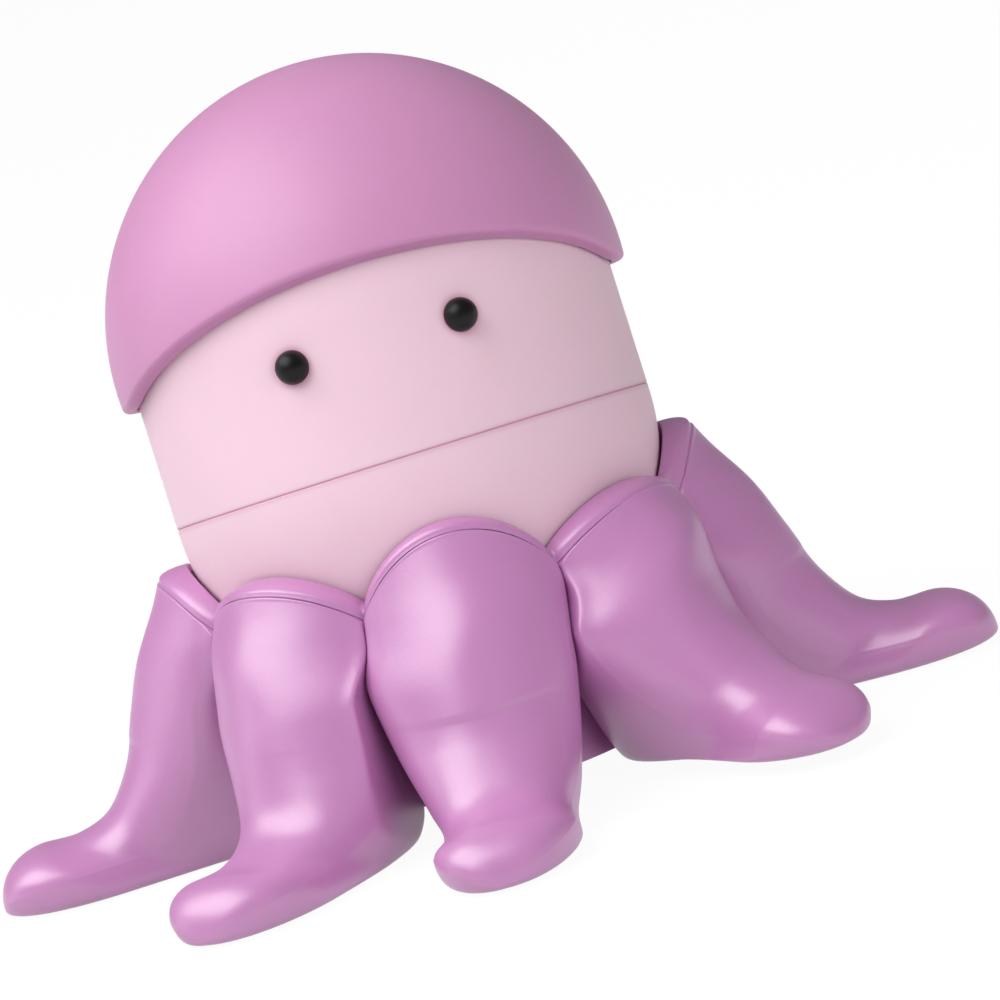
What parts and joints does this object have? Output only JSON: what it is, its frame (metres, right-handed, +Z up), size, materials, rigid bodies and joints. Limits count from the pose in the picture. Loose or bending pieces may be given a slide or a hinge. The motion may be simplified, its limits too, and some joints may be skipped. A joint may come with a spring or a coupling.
{
  "type": "octopus toy figure",
  "caption": "Free-standing plastic octopus toy: a capped, bead-eyed head with a ball end that turns and nods in a scalloped ring of boot-shaped legs.",
  "frame": {"origin": "on the ground under the centre of the head's ball, midway between the toes of opposite legs", "axes": "+Z up, the face looks along -Y, +X is to the right as one looks at the face"},
  "size_m": [0.1036, 0.1036, 0.0742],
  "materials": {
    "cap_plastic": "satin",
    "face_plastic": "matte",
    "leg_plastic": "semi-gloss",
    "eye_plastic": "gloss",
    "washer_plastic": "matte",
    "steel": "brushed"
  },
  "bodies": {
    "legs": {"leg_front": "leg_plastic", "leg_front_right": "leg_plastic", "leg_right": "leg_plastic", "leg_back_right": "leg_plastic", "leg_back": "leg_plastic", "leg_back_left": "leg_plastic", "leg_left": "leg_plastic", "leg_front_left": "leg_plastic", "collar": "leg_plastic", "hub": "leg_plastic", "base_plug": "leg_plastic", "neck_bolt": "steel", "flat_washer": "steel", "lock_nut": "steel"},
    "swivel": {"ball_washer": "washer_plastic", "neck_spring": "steel"},
    "head": {"cap": "cap_plastic", "face_shell": "face_plastic", "jaw_bowl": "face_plastic", "left_eye": "eye_plastic", "right_eye": "eye_plastic"}
  },
  "joints": [
    {"name": "head_turn", "type": "hinge", "parent": "legs", "child": "swivel", "pos_m": [0, 0, 0.0329], "axis": [0, 0, 1], "continuous": true},
    {"name": "head_nod", "type": "hinge", "parent": "swivel", "child": "head", "pos_m": [0, 0, 0.0329], "axis": [1, 0, 0], "range_deg": [-2, 24]}
  ]
}
